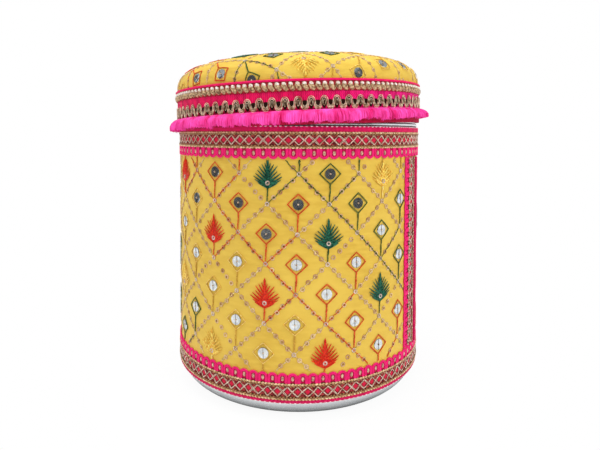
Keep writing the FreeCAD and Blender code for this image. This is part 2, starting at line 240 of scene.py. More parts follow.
recipes = {
    "yellowCloth": (clothLook,),
    "redThread": (threadLook, "bc380c", "ee5c26"),
    "greenThread": (threadLook, "243f1c", "4f7236"),
    # the yellow kites' outline comes as a lit copy (yellow) and a shaded copy (amber) of one thread,
    # painted light and painted shade; amber is also the yellow stems' own colour
    "yellowThread": (threadLook, "f0b42a", "fff0a0", 0.35),
    "amberThread": (threadLook, "b88624", "e2b64c"),
    "beigeThread": (threadLook, "c09a58", "f4e0a8"),
    "redLeaf": (threadLook, "c41806", "f03c14", 0.42),
    "greenLeaf": (threadLook, "083026", "2c785c", 0.34),
    "yellowLeaf": (threadLook, "e09c18", "ffe978", 0.3),
    "darkThread": (threadLook, "2a2019", "4c3c2c"),
    "brownThreadAndHoleShade": (threadLook, "946236", "c09056"),
    "mirrorFoil": (streakLook, "c4c9cb", "f0f3f3", 2.2, 0.16, 0.95, 0.5, None, 3, (0.3, 0.7)),
    "sequin": (streakLook, "be8860", "f0cea4", 7, 0.3, 0.15),
    "paleSequin": (streakLook, "c4a08c", "f6e2d6", 3, 0.25, 0.3),
    "goldBead": (goldLook, "8a6644", "f8dfc0", 0.9, 0.25),
    "eyeBead": (goldLook, "9a7058", "ecc6a8", 0.9, 0.1),
    "brightGold": (goldLook, "b07c42", "fde2b4", 1.4, 0.25),
    "dullGold": (goldLook, "5e321c", "c48a5a", 0.8, 0.25),
    "antiqueGold": (goldLook, "745036", "e4c294", 1.1, 0.15),
    "paintedHighlightGold": (goldLook, "e0d0b4", "fffcf6", 1.2, 0.12),
    "darkGold": (goldLook, "33190f", "6d4a2c"),
    "wireGold": (goldLook, "8e683c", "ffecca", 1.6, 0.1),
    "latticeGold": (goldLook, "b48a6a", "fdeada", 0.9, 0.12),
    "pinkCord": (braidLook, "c0063f", "f51a6c"),
    "pinkPiping": (braidLook, "960432", "f01c68", 0.75, 0.03),
    "palePicot": (threadLook, "d090a4", "ffeef2", 0.6),
    "pinkLoop": (braidLook, "c80a50", "ff2e86", 0.6, 0.1),
    "ribbonKnit": (knitLook,),
    "crimsonTape": (tapeLook, "7c0826", "d01046"),
    "ropeGroundAndSlitShade": (tapeLook, "6e161e", "cc4044"),
    "loopTape": (tapeLook, "a00a3a", "dc1858"),
    "holeShadeBlack": (tapeLook, "100604", "34180f"),
    "pinkFringe": (fringeLook,),
    "aluminium": (aluminiumLook,),
    "foam": (foamLook,),
}
looks = {name: material(name, *recipe) for name, recipe in recipes.items()}
print("materials", len(looks))


# building helpers

def linked(name, data):
    thing = bpy.data.objects.new(name, data)
    scene.collection.objects.link(thing)
    return thing


def shapeOf(thing):
    # its mesh as it is with its modifiers or bevels
    graph = bpy.context.evaluated_depsgraph_get()
    return bpy.data.meshes.new_from_object(thing.evaluated_get(graph))


def addPiece(name, mesh, look, body, smooth=True):
    piece = linked(name, mesh)
    mesh.materials.clear()
    mesh.materials.append(looks[look])
    mesh.polygons.foreach_set("use_smooth", [smooth] * len(mesh.polygons))
    mesh.update()
    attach(piece, body)
    return piece


def meshOf(bm, name):
    mesh = bpy.data.meshes.new(name)
    bm.to_mesh(mesh)
    bm.free()
    return mesh


def strands(name, paths, radius, sides=0):
    # tubes along paths; a point is a place and, if it has a fourth value, its share of the radius
    curve = bpy.data.curves.new(name, "CURVE")
    curve.dimensions = "3D"
    curve.bevel_depth = radius
    curve.bevel_resolution = sides
    curve.use_fill_caps = True
    for path in paths:
        spline = curve.splines.new("POLY")
        spline.points.add(len(path) - 1)
        for point, spot in zip(spline.points, path):
            point.co = (spot[0], spot[1], spot[2], 1)
            point.radius = spot[3] if len(spot) > 3 else 1
    holder = linked(name, curve)
    mesh = shapeOf(holder)
    bpy.data.objects.remove(holder)
    bpy.data.curves.remove(curve)
    mesh.name = name
    return mesh


def stamped(name, template, places):
    # the template once at every place
    bm = bmesh.new()
    for place in places:
        template.transform(place)
        bm.from_mesh(template)
        template.transform(place.inverted())
    return meshOf(bm, name)


def lay(mesh, surface, weld=False):
    # from the flat cloth to its surface; the flat place is kept for the weave
    spots = [vertex.co.copy() for vertex in mesh.vertices]
    layer = mesh.uv_layers.new(name="flat")
    pairs = [value for corner in mesh.loops for value in spots[corner.vertex_index].xy]
    layer.uv.foreach_set("vector", pairs)
    for vertex, spot in zip(mesh.vertices, spots):
        vertex.co = surface(spot)
    if weld:
        bm = bmesh.new()
        bm.from_mesh(mesh)
        bmesh.ops.remove_doubles(bm, verts=bm.verts, dist=0.004 * mm)
        bmesh.ops.recalc_face_normals(bm, faces=bm.faces)
        bm.to_mesh(mesh)
        bm.free()
    mesh.update()
    return mesh


def strip(name, length, steps, profile, folds):
    # a flat strip: profile gives across and height for a share from 0 to 1
    bm = bmesh.new()
    bmesh.ops.create_grid(bm, x_segments=steps, y_segments=folds, size=0.5)
    for vertex in bm.verts:
        across, height = profile(vertex.co.y + 0.5)
        vertex.co = ((vertex.co.x + 0.5) * length, across, height)
    return meshOf(bm, name)


def band(name, length, steps, low, high, bottom, top, square, folds=8):
    # a closed flat strip with rounded long edges; the smaller square is, the sharper they are
    def profile(share):
        angle = fullTurn * share
        run = math.copysign(abs(math.cos(angle)) ** square, math.cos(angle))
        lift = math.copysign(abs(math.sin(angle)) ** 0.6, math.sin(angle))
        return (low + high) / 2 - (high - low) / 2 * run, (bottom + top) / 2 + (top - bottom) / 2 * lift
    return strip(name, length, steps, profile, folds)


def turned(bm, steps):
    # an outline spun round the upright axis to a closed body
    bmesh.ops.spin(bm, geom=bm.verts[:] + bm.edges[:], axis=(0, 0, 1), angle=fullTurn,
                   steps=steps, use_merge=True)
    bmesh.ops.recalc_face_normals(bm, faces=bm.faces)


def shifted(x, y, z=0.0, turn=0.0, tilt=0.0):
    # a place on the flat cloth as a matrix
    return Matrix.Translation((x, y, z)) @ Matrix.Rotation(turn, 4, "Z") @ Matrix.Rotation(tilt, 4, "X")


def bead(name, length, width, height, segments=8, rings=5):
    bm = bmesh.new()
    bmesh.ops.create_uvsphere(bm, u_segments=segments, v_segments=rings, radius=1)
    bmesh.ops.scale(bm, vec=(length / 2, width / 2, height / 2), verts=bm.verts)
    return meshOf(bm, name)


def shares(count):
    return [step / count for step in range(count + 1)]


def oval(centreX, centreY, halfWidth, halfHeight, height, start, end, steps):
    # points of an oval arc, angles from the right, in degrees
    points = []
    for step in range(steps + 1):
        angle = math.radians(start + (end - start) * step / steps)
        x = centreX + halfWidth * math.cos(angle)
        points.append((x, centreY + halfHeight * math.sin(angle), height))
    return points


# sizes that the pieces share; the can's cloth is read from model.glb

wrapLow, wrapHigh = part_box("body_wrap")
can = {
    "cloth": max(-wrapLow.x, wrapHigh.x, -wrapLow.y, wrapHigh.y),
    "wrapBottom": wrapLow.z,
    "wrapTop": wrapHigh.z,
    "baseTrim": 1.2 * mm,
    "seamFront": math.radians(52.8),
    "seamBack": math.radians(65.6),
}
lid = {
    "tilt": math.radians(-2.0),
    "seat": 162.005 * mm,
    "cloth": 81.03 * mm,
    "spring": 24.15 * mm,
    "rise": 21.5 * mm,
    "power": 2 / 3.1,
    "fringeTop": 8.8 * mm,
    "ropeBottom": 18.3 * mm,
    "ropeTop": 23.5 * mm,
    "hem": 3.3 * mm,
}
lidPlace = Matrix.Translation((0, 0, lid["seat"])) @ Matrix.Rotation(lid["tilt"], 4, "Y")


def around(reach, angle, height):
    # a place round the upright axis, the angle from the front to the right
    return Vector((reach * math.sin(angle), -reach * math.cos(angle), height))


def roundCan(spot):
    return around(can["cloth"] + spot.z, spot.x / can["cloth"], spot.y)


def roundLid(spot):
    # the lid's skirt and trims; spot.z is counted from the lid's cloth
    return lidPlace @ around(lid["cloth"] + spot.z, spot.x / lid["cloth"], spot.y)


# the cloth round the can

wrap = {
    "stepsRound": 260,
    "stepsUp": 60,
    "pucker": 0.22 * mm,
    "rippleUp": 5 * mm,
    "ripplesRound": 4,
    "gap": 0.5 * mm,  # half the gap where the edges meet
}
seamMiddle = (can["seamFront"] + can["seamBack"]) / 2
wrapWidth = fullTurn * can["cloth"] - 2 * wrap["gap"]
wrapHeight = can["wrapTop"] - can["wrapBottom"]


def wrapSurface(spot):
    angle = seamMiddle - fullTurn + (spot.x + wrap["gap"]) / can["cloth"]
    count = wrap["ripplesRound"]
    along = (math.sin(angle) * count, math.cos(angle) * count)
    ripple = noise.noise(Vector((*along, spot.y / wrap["rippleUp"])))
    return around(can["cloth"] - wrap["pucker"] * (0.6 + 0.4 * ripple), angle, spot.y)


wrapSheet = strip("bodyCloth", wrapWidth, wrap["stepsRound"],
                  lambda share: (can["wrapBottom"] + share * wrapHeight, 0), wrap["stepsUp"])
bodyCloth = addPiece("bodyCloth", lay(wrapSheet, wrapSurface), "yellowCloth", "can")
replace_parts(bodyCloth, "body_wrap")
print("body cloth")


# the lid's padded cloth

cover = {
    "segments": 120,
    "rings": 34,
    "walkSteps": 400,
    "sunk": 0.25 * mm,
    "held": 1.5 * mm,
    "frames": 20,
    "cap": 0.4 * mm,
    "settings": {
        "quality": 6,
        "mass": 0.2,
        "tension_stiffness": 12,
        "bending_stiffness": 0.4,
        "use_pressure": True,
        "uniform_pressure_force": 3.5,
        "shrink_min": -0.02,
        "vertex_group_mass": "held",
    },
}


def walkDome():
    # steps down the dome: the distance gone from the top, reach and height
    walk = []
    for share in shares(cover["walkSteps"]):
        turn = quarterTurn * (1 - share)
        reach = lid["cloth"] * max(math.cos(turn), 0) ** lid["power"]
        height = lid["spring"] + lid["rise"] * math.sin(turn) ** lid["power"]
        last = walk[-1] if walk else (0, reach, height)
        walk.append((last[0] + math.hypot(reach - last[1], height - last[2]), reach, height))
    return walk


domeWalk = walkDome()
domeFoot = domeWalk[-1][0]
domeSteps = [walk[0] for walk in domeWalk]


def domeAt(distance):
    # reach and height at a distance over the cloth from the top, and the outward slope there
    if distance >= domeFoot:
        return lid["cloth"], lid["spring"] - (distance - domeFoot), 1.0, 0.0
    index = min(max(bisect.bisect_right(domeSteps, distance), 1), len(domeWalk) - 1)
    before, after = domeWalk[index - 1], domeWalk[index]
    length, run, rise = (second - first for first, second in zip(before, after))
    share = (distance - before[0]) / length
    return before[1] + share * run, before[2] + share * rise, -rise / length, run / length


def domeFrame(spot):
    # the cloth's flat place, front at +y, to a place on the dome and the way out
    distance = math.hypot(spot.x, spot.y)
    angle = math.atan2(spot.x, spot.y)
    reach, height, out, up = domeAt(distance)
    return around(reach, angle, height), around(out, angle, up)


def sunkDome(spot):
    # where the simulation starts; without it the cloth lies on the dome
    place, out = domeFrame(Vector((spot.x, -spot.y, 0)))
    return place - out * cover["sunk"]


def coverMesh():
    bm = bmesh.new()
    total = domeFoot + lid["spring"] - lid["hem"]
    bmesh.ops.create_circle(bm, cap_ends=True, cap_tris=True, segments=cover["segments"],
                            radius=total / cover["rings"])
    for ring in range(2, cover["rings"] + 1):
        rim = [edge for edge in bm.edges if edge.is_boundary]
        grown = bmesh.ops.extrude_edge_only(bm, edges=rim)["geom"]
        verts = [item for item in grown if isinstance(item, bmesh.types.BMVert)]
        factor = ring / (ring - 1)
        bmesh.ops.scale(bm, vec=(factor, factor, 1), verts=verts)
    return lay(meshOf(bm, "lidCloth"), sunkDome)


def settled(mesh):
    # the cloth filled and eased by a short simulation; its foot is held
    piece = linked("settling", mesh)
    held = piece.vertex_groups.new(name="held")
    heldTop = lid["spring"] + cover["held"]
    held.add([vertex.index for vertex in mesh.vertices if vertex.co.z < heldTop], 1.0, "REPLACE")
    soft = piece.modifiers.new("settling", "CLOTH")
    for name, value in cover["settings"].items():
        setattr(soft.settings, name, value)
    soft.settings.effector_weights.gravity = 0
    soft.point_cache.frame_start = 1
    soft.point_cache.frame_end = cover["frames"]
    for frameNumber in range(1, cover["frames"] + 1):
        scene.frame_set(frameNumber)
    moved = shapeOf(piece)
    for vertex, after in zip(mesh.vertices, moved.vertices):
        shift = after.co - vertex.co
        if shift.length > cover["cap"]:
            shift *= cover["cap"] / shift.length
        vertex.co += shift
    bpy.data.objects.remove(piece)
    bpy.data.meshes.remove(moved)
    scene.frame_set(1)
    return mesh


coverShape = coverMesh()
coverShape = settled(coverShape)
coverShape.transform(lidPlace)
lidCloth = addPiece("lidCloth", coverShape, "yellowCloth", "lid")
rounding = lidCloth.modifiers.new("rounding", "SUBSURF")
rounding.levels = 1
rounding.render_levels = 1
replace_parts(lidCloth, "lid_cover")
coverTree = BVHTree.FromObject(lidCloth, bpy.context.evaluated_depsgraph_get())
lidTurn = lidPlace.to_3x3()


def overDome(spot):
    # the flat place on the settled cloth
    place, out = domeFrame(spot)
    place = lidPlace @ place
    out = lidTurn @ out
    hit = coverTree.ray_cast(place + out * 4 * mm, -out, 8 * mm)[0]
    return (hit or place) + out * spot.z


print("lid cloth")


# embroidery, flat first and then laid on the can and on the dome

stitch = {
    "stepRound": 17.07 * mm,
    "stepDown": 16.46 * mm,
    "sequinsPerEdge": 4,
    "sequin": (1.4 * mm, 0.62 * mm, 0.3 * mm),  # outer, hole and rise
    "paleSequin": (1.4 * mm, 0.5 * mm, 0.4 * mm),
    "sequinEdge": 0.06 * mm,
    "sequinMargin": 1.3 * mm,
    "scatter": 0.35 * mm,
    "threadShare": 0.85,
    "knotShare": 0.7,
    "kiteWidth": 6.1 * mm,
    "kiteHeight": 5.8 * mm,
    "thread": 0.3 * mm,
    "leafThread": 0.36 * mm,
    "tieThread": 0.16 * mm,
    "girth": 0.62,
    "stemGirth": 0.92,
    "stemEnd": 1.6 * mm,
    "mirror": 3.2 * mm,
    "mirrorDepth": 0.34 * mm,
    "mirrorLift": 0.2 * mm,
    "knot": (1.1 * mm, 1.1 * mm, 0.7 * mm),
    "dot": (0.75 * mm, 0.75 * mm, 0.4 * mm),
}


def motifColour(column, row):
    first = row - 5 if row % 2 == 0 else row - 3
    return ("red", "green", "yellow")[((column - first) // 4) % 3]


def isLeaf(column, row):
    return row % 2 == 0 and (column + row) % 4 == 3


def sequinShape(outer, hole, rise):
    bm = bmesh.new()
    bmesh.ops.create_circle(bm, segments=3, radius=1)
    edge = stitch["sequinEdge"]
    corners = [(outer, 0, edge), ((outer + hole) / 2, 0, rise), (hole, 0, edge)]
    for vertex, corner in zip(bm.verts, corners):
        vertex.co = corner
    turned(bm, 10)
    return meshOf(bm, "sequin")


def mirrorShape():
    bm = bmesh.new()
    bmesh.ops.create_cone(bm, cap_ends=True, segments=28, radius1=stitch["mirror"],
                          radius2=stitch["mirror"] * 0.93, depth=stitch["mirrorDepth"])
    bmesh.ops.translate(bm, vec=(0, 0, stitch["mirrorLift"]), verts=bm.verts)
    return meshOf(bm, "mirror")


def bowed(start, end, bow, steps, height, girth=lambda share: stitch["girth"], rng=None):
    # a thread from start to end, bowed to one side, or to and fro where it is given an rng
    along = Vector(end) - Vector(start)
    side = Vector((-along.y, along.x)).normalized()
    points = []
    for share in shares(steps):
        sway = rng.uniform(-bow, bow) if rng else bow
        spot = Vector(start) + along * share + side * sway * math.sin(math.pi * share)
        points.append((spot.x, spot.y, height, girth(share)))
    return points


def frond(start, tip, height):
    # one satin stroke that curves up towards its fine tip
    bow = -0.03 * (tip[0] - start[0])
    return bowed(start, tip, bow, 5, height, lambda share: 0.95 - 0.6 * share ** 1.4)


# places in a leaf, across and up from its base, in mm
leafShape = {
    # root, and how far out and up the tip is
    "fronds": [
        (0.1, 5.9, 2.4), (0.7, 7.7, 4.2), (1.5, 8.7, 6.2), (2.6, 7.7, 7.9),
        (3.9, 6.1, 9.4), (5.4, 5.5, 11.7), (7.0, 3.5, 12.6), (8.6, 1.7, 13.2),
    ],
    "spread": (-0.17, 0.0, 0.17),
    "spike": 16.2,
    "spikeLeans": (-0.55, -0.25, 0.0, 0.25, 0.55),
    "spikeRoots": (8.0, 10.0),
    "rib": (-0.3, 12.0),
    "ribLeans": (-0.25, 0.25),
    "base": -7.3,  # from the motif's middle
    "sequin": -5.0,
}


def leafStrokes(x, y, rng):
    # pairs of fronds, each of strokes that meet in a point, then a spike at the top and a rib
    strokes = []

    def at(across, up):
        return x + across * mm, y + (leafShape["base"] + up) * mm

    for root, out, up in leafShape["fronds"]:
        for side in (1, -1):
            stretch = rng.uniform(0.92, 1.04)
            for spread in leafShape["spread"]:
                short = stretch * (1 - 0.2 * abs(spread)) * rng.uniform(0.93, 1.03)
                start = at(side * 0.1, root + spread * 3.4)
                tip = at(side * out * short, root + (up - root + spread * 0.7) * short)
                strokes.append(frond(start, tip, rng.uniform(0.22, 0.5) * mm))
    for lean in leafShape["spikeLeans"]:
        start = at(lean * 0.4, rng.uniform(*leafShape["spikeRoots"]))
        strokes.append(frond(start, at(lean, leafShape["spike"] - abs(lean) * 2.2), 0.5 * mm))
    foot, head = leafShape["rib"]
    for lean in leafShape["ribLeans"]:
        strokes.append(bowed(at(lean, foot), at(0, head), 0.1 * mm, 8, 0.55 * mm))
    return strokes


class Embroidery:
    # motifs and lattice of one cloth; pose lays the pattern on the cloth, inside tells
    # where the cloth shows and surface lays the cloth on its body
    def __init__(self, cloth):
        self.cloth = cloth
        self.rng = random.Random(cloth["seed"])
        self.threads = {"red": [], "green": [], "yellow": [], "amber": [], "beige": []}
        self.leaves = {"red": [], "green": [], "yellow": []}
        self.places = collections.defaultdict(list)

    def spot(self, column, row):
        x = stitch["stepRound"] * (column - self.cloth["first"]) - self.cloth["slip"] * row
        return x, -stitch["stepDown"] * row

    def inside(self, x, y, margin=0.0):
        place = self.cloth["pose"] @ Vector((x, y, 0))
        return self.cloth["inside"](place.x, place.y, margin)

    def surface(self, spot):
        return self.cloth["surface"](self.cloth["pose"] @ spot)

    def keep(self, path, target):
        # only the runs of points that show
        for shows, points in itertools.groupby(path, lambda point: self.inside(*point[:2])):
            run = list(points)
            if shows and len(run) > 1:
                target.append(run)

    def addSequin(self, x, y, part):
        if not self.inside(x, y, stitch["sequinMargin"]):
            return False
        tilt = self.rng.uniform(-0.12, 0.12)
        turn = self.rng.uniform(0, fullTurn)
        self.places[part].append(shifted(x, y, 0.02 * mm, turn, tilt))
        return True

    def lattice(self, column, row):
        rng = self.rng
        start = self.spot(column, row)
        self.addSequin(*start, "PaleSequins")
        colour = motifColour(column, row - 1)
        scatter = stitch["scatter"]
        count = stitch["sequinsPerEdge"] + 1
        for side in (-1, 1):
            end = self.spot(column + side, row + 1)
            # a line between two motifs of one colour mostly has their thread, the others a plain one
            shared = motifColour(column + side, row) == colour != "yellow"
            thread = None
            if rng.random() < stitch["threadShare"]:
                thread = colour if shared else "beige"
            # a dot in most sequins' holes stands for the stitch knot; the brown dots are partly painted
            # shade in the hole
            knots = self.places["DarkKnots" if thread in ("green", "red") else "BrownKnotsAndHoleShade"]
            for index in range(1, count):
                share = index / count
                x, y = (low + (high - low) * share + rng.uniform(-scatter, scatter)
                        for low, high in zip(start, end))
                shows = self.addSequin(x, y, "Sequins")
                if rng.random() < stitch["knotShare"] and shows:
                    knots.append(shifted(x, y, 0.16 * mm))
            if not thread:
                continue
            for height in (0.12 * mm, 0.2 * mm):
                path = bowed(start, end, 0.45 * mm, 18, height, rng=rng)
                self.keep(path, self.threads[thread])

    def kite(self, column, row, colour):
        x, y = self.spot(column, row)
        rng = self.rng
        # a yellow kite's inner outline is a darker amber copy of its thread, painted shade beside the
        # paler outer thread; its stem takes the same amber as its own colour
        shade = "amber" if colour == "yellow" else colour
        for grow, thread in ((1.0, colour), (0.92, shade)):
            wide = stitch["kiteWidth"] * grow
            tall = stitch["kiteHeight"] * grow
            corners = [(x, y + tall), (x + wide, y), (x, y - tall), (x - wide, y)]
            for first, second in zip(corners, corners[1:] + corners[:1]):
                shake = rng.uniform(-0.15, 0.15) * mm
                start = (first[0] + shake, first[1])
                end = (second[0], second[1] + shake)
                self.keep(bowed(start, end, 0.12 * mm, 6, 0.3 * mm), self.threads[thread])
        self.stem(column, row, shade, -stitch["kiteHeight"])
        if self.inside(x, y, stitch["mirror"]):
            self.places["Mirrors"].append(shifted(x, y, 0, 0, rng.uniform(-0.03, 0.03)))

    def stem(self, column, row, colour, top):
        x, y = self.spot(column, row)
        end = self.spot(column, row + 1)
        foot = (end[0], end[1] + stitch["stemEnd"])
        for offset in (-0.168 * mm, 0.168 * mm):
            head = (x + offset, y + top)
            path = bowed(head, foot, 0.3 * mm, 12, 0.3 * mm, lambda share: stitch["stemGirth"], self.rng)
            self.keep(path, self.threads[colour])

    def leaf(self, column, row, colour):
        x, y = self.spot(column, row)
        for stroke in leafStrokes(x, y, self.rng):
            self.keep(stroke, self.leaves[colour])
        self.stem(column, row, colour, leafShape["base"] * mm)
        low = y + leafShape["sequin"] * mm
        if self.inside(x, low, 1.5 * mm):
            self.places["PaleSequins"].append(shifted(x, low, 0.62 * mm))

    def draw(self):
        for row in self.cloth["rows"]:
            for column in self.cloth["columns"]:
                if (column + row) % 2 == 0:
                    self.lattice(column, row)
                    continue
                motif = self.leaf if isLeaf(column, row) else self.kite
                motif(column, row, motifColour(column, row))

    def finished(self, part, mesh, look, slot=None, smooth=True):
        body = self.cloth["body"]
        return addPiece(body + part, lay(mesh, self.surface), look, body, smooth)

    def build(self):
        for part, look, radius, drawn in (
            ("Thread", "Thread", stitch["thread"], self.threads),
            ("Leaves", "Leaf", stitch["leafThread"], self.leaves),
        ):
            for colour, paths in drawn.items():
                self.finished(colour.capitalize() + part, strands(part, paths, radius), colour + look)
        mirrors = self.places["Mirrors"]
        self.places["Knots"] = [Matrix.Translation((0, 0, 0.5 * mm)) @ place for place in mirrors]
        dot = bead("dot", *stitch["dot"], 6, 4)
        for part, shape, look, slot in (
            ("Sequins", sequinShape(*stitch["sequin"]), "sequin", "mirror_foil"),
            ("PaleSequins", sequinShape(*stitch["paleSequin"]), "paleSequin", "mirror_foil"),
            ("Mirrors", mirrorShape(), "mirrorFoil", "mirror_foil"),
            ("Knots", bead("knot", *stitch["knot"]), "goldBead", "gold_thread"),
            ("DarkKnots", dot, "darkThread", None),
            ("BrownKnotsAndHoleShade", dot, "brownThreadAndHoleShade", None),
        ):
            mesh = stamped(part, shape, self.places[part])
            piece = self.finished(part, mesh, look, slot, part != "Mirrors")
            if part == "Mirrors":
                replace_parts(piece, self.cloth["node"])
        ties = []
        for place in mirrors:
            x, y = place.translation.xy
            for side in (1, -1):
                end = (x, y + side * stitch["mirror"] * 1.08)
                ties.append(bowed((x, y + side * 0.4 * mm), end, 0.08 * mm, 4, 0.48 * mm))
        self.finished("Ties", strands("ties", ties, stitch["tieThread"]), "darkThread")


laceWidth = 17.9 * mm
baseEdge = can["wrapBottom"] - can["baseTrim"]
shown = {
    "low": baseEdge + laceWidth + 0.2 * mm,
    "high": can["wrapTop"] - laceWidth - 0.2 * mm,
    "left": (can["seamBack"] - fullTurn) * can["cloth"] + 0.3 * mm,
    "right": can["seamFront"] * can["cloth"] - 0.3 * mm,
}


def insideWrap(x, y, margin):
    clear = shown["left"] + margin < x < shown["right"] - margin
    return clear and shown["low"] + margin < y < shown["high"] - margin


def insideDome(x, y, margin):
    return math.hypot(x, y) < domeFoot - 0.5 * mm - margin * 0.15


canStitches = {
    "body": "can",
    "node": "wrap_mirrors",
    "pose": Matrix.Translation((0.24 * mm, 135.7 * mm, 0)),
    "first": 0,
    "slip": 0.4 * mm,
    "columns": range(-25, 7),
    "rows": range(-1, 8),
    "inside": insideWrap,
    "surface": roundCan,
    "seed": 21,
}
lidPose = Matrix.Translation((4.3 * mm, 82.85 * mm, 0)) @ Matrix.Rotation(math.radians(-5.7), 4, "Z")
lidStitches = {
    "body": "lid",
    "node": "lid_mirrors",
    "pose": lidPose @ Matrix.Scale(0.94, 4),  # the cloth is gathered a little over the dome
    "first": 3,
    "slip": 0.0,
    "columns": range(-5, 12),
    "rows": range(-3, 14),
    "inside": insideDome,
    "surface": overDome,
    "seed": 22,
}
for cloth in (canStitches, lidStitches):
    stitches = Embroidery(cloth)
    stitches.draw()
    stitches.build()
    print("embroidery", cloth["body"], len(stitches.places["Mirrors"]))


# the pink and gold lace at rim, base and seam

lace = {
    "tape": (0.2 * mm, 12.4 * mm, 0.05 * mm, 0.35 * mm),  # across from and to, bottom and top
    "loopTape": (12.3 * mm, 16.6 * mm, 0.05 * mm, 0.3 * mm),
    "square": 0.35,
    "piping": (3.0 * mm, 0.38 * mm),
    "picot": (1.9 * mm, 0.8 * mm, 0.5 * mm),
    "cords": (3.95 * mm, 11.25 * mm),
    "cord": (0.95 * mm, 0.36 * mm, 0.66 * mm),  # half width, bottom and top
    "grain": (2.1 * mm, 1.15 * mm, 0.85 * mm),
    "grainPitch": 1.85 * mm,
    "grainOff": 0.42 * mm,
    "lattice": (4.9 * mm, 10.3 * mm),
    "latticeThread": 0.19 * mm,
    "latticeSteps": 8,
    "loops": (12.2 * mm, 17.9 * mm),
    "loopThread": 0.42 * mm,
    "loopRows": ((0.0, 0.45 * mm), (0.7 * mm, 0.5 * mm)),  # inset and height
    "eye": (1.75 * mm, 2.8 * mm, 0.7 * mm),
}
roundStyle = {"pipingTop": 0.8 * mm, "eyes": "eyeBead", "cord": "brightGold", "half": 0.42, "bend": 0.42}
# the cloth is folded under the back edge of the seam lace, so its piping stands higher
seamStyle = {"pipingTop": 2.15 * mm, "eyes": "pinkLoop", "cord": "goldBead", "half": 0.46, "bend": 0.2}


def buildLace(name, length, count, laid, style, trim=0.0):
    # flat pieces of one lace, along x and across y, then laid round the can
    pitch = length / count
    low, high = lace["lattice"]
    ground = name + "Ground"
    looks[ground] = material(ground, laceGroundLook, pitch, (low + high) / 2, high - low)

    def surface(spot):
        return roundCan(Vector((*laid(spot.x, spot.y), spot.z)))

    def finished(part, mesh, look, node=None, weld=False):
        piece = addPiece(name + part, lay(mesh, surface, weld), look, "can")
        if node:
            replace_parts(piece, f"{name}_lace_{node}")

    def laceBand(start, end, bottom, top, folds=8):
        return band(name, length, count * 4, start, end, bottom, top, lace["square"], folds)

    tapeFrom, *tapeRest = lace["tape"]
    finished("Tape", laceBand(trim + tapeFrom, *tapeRest), ground, "tape", True)
    finished("LoopTape", laceBand(*lace["loopTape"]), "loopTape", None, True)
    pipingTo, pipingBottom = lace["piping"]
    piping = laceBand(trim, pipingTo, pipingBottom, style["pipingTop"], 12)
    finished("Piping", piping, "pinkPiping", "piping", True)
    picots = [shifted((index + 0.5) * pitch / 2, trim + 0.15 * mm, 0.62 * mm)
              for index in range(count * 2)]
    picot = bead("picot", *lace["picot"], 6, 4)
    finished("Picots", stamped("picots", picot, picots), "palePicot")

    grains = round(length / lace["grainPitch"])
    step = length / grains
    off = lace["grainOff"]
    half, bottom, top = lace["cord"]
    cores = []
    bright = []
    dull = []
    for middle, outer in zip(lace["cords"], (-1, 1)):
        for index in range(grains):
            x = (index + 0.5) * step
            bright.append(shifted(x, middle + outer * off, 0.72 * mm, 0.3 * outer))
            dull.append(shifted(x + 0.25 * step, middle - outer * off, 0.68 * mm, -0.5 * outer))
        cores.append(laceBand(middle - half, middle + half, bottom, top))
    grain = bead("grain", *lace["grain"])
    finished("BrightGrains", stamped("grains", grain, bright), style["cord"])
    finished("DullGrains", stamped("grains", grain, dull), "dullGold")
    for mesh, part, node in zip(cores, ("CordInner", "CordOuter"), ("cords", None)):
        finished(part, mesh, "darkGold", node, True)

    threads = []
    rng = random.Random(count)
    for index in range(count):
        for lean in (0, 1):
            flip = math.pi if (index + lean) % 2 else 0  # over and under in turn
            for offset in (-0.2, 0.2):
                kink = rng.uniform(-0.35, 0.35)
                points = []
                for share in shares(lace["latticeSteps"]):
                    run = 1 - share if lean else share
                    sway = (offset + kink * math.sin(math.pi * share)) * mm
                    lift = (0.5 + 0.16 * math.cos(fullTurn * share + flip)) * mm
                    points.append(((index + run) * pitch + sway, low + share * (high - low), lift))
                threads.append(points)
    lattice = strands("lattice", threads, lace["latticeThread"])
    finished("Lattice", lattice, "latticeGold", "lattice")

    low, high = lace["loops"]
    bend = high - pitch * style["bend"]
    loops = []
    eyes = []
    for index in range(count):
        middle = (index + 0.5) * pitch
        for inset, height in lace["loopRows"]:
            half = pitch * style["half"] - inset
            top = max(high - bend - 0.35 * mm - inset, 0.05 * mm)
            arc = oval(middle, bend, half, top, height, 180, 0, 8)
            loops.append([(middle - half, low, height)] + arc + [(middle + half, low, height)])
        eyes.append(shifted(middle, low + (high - low) * 0.45, 0.5 * mm))
    loop = strands("loops", loops, lace["loopThread"], 1)
    finished("Loops", loop, "pinkLoop", "loops")
    finished("Eyes", stamped("eyes", bead("eye", *lace["eye"]), eyes), style["eyes"])


ringLength = fullTurn * can["cloth"]
seamLow = baseEdge + laceWidth + 0.25 * mm
seamHigh = can["wrapTop"] - laceWidth - 0.25 * mm
seamRight = can["seamBack"] * can["cloth"]
buildLace("rim", ringLength, 91, lambda x, y: (-x, can["wrapTop"] - y), roundStyle)
buildLace("base", ringLength, 91, lambda x, y: (x, baseEdge + y), roundStyle, can["baseTrim"])
buildLace("seam", seamHigh - seamLow, 21, lambda x, y: (seamRight - y, seamLow + x), seamStyle)
print("laces")


# the lid's trims

lidRing = fullTurn * lid["cloth"]
bands = {
    "steps": 240,
    "square": 0.3,
    "ribbon": (lid["fringeTop"], lid["ropeBottom"], 0.05 * mm, 0.5 * mm),
    "heading": (0.3 * mm, lid["fringeTop"], 0.05 * mm, 0.45 * mm),
    "core": (lid["ropeBottom"], lid["ropeTop"], 0.08 * mm, 0.6 * mm),
}


def lidTrim(name, mesh, look, node=None, weld=False):
    piece = addPiece(name, lay(mesh, roundLid, weld), look, "lid")
    if node:
        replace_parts(piece, node)


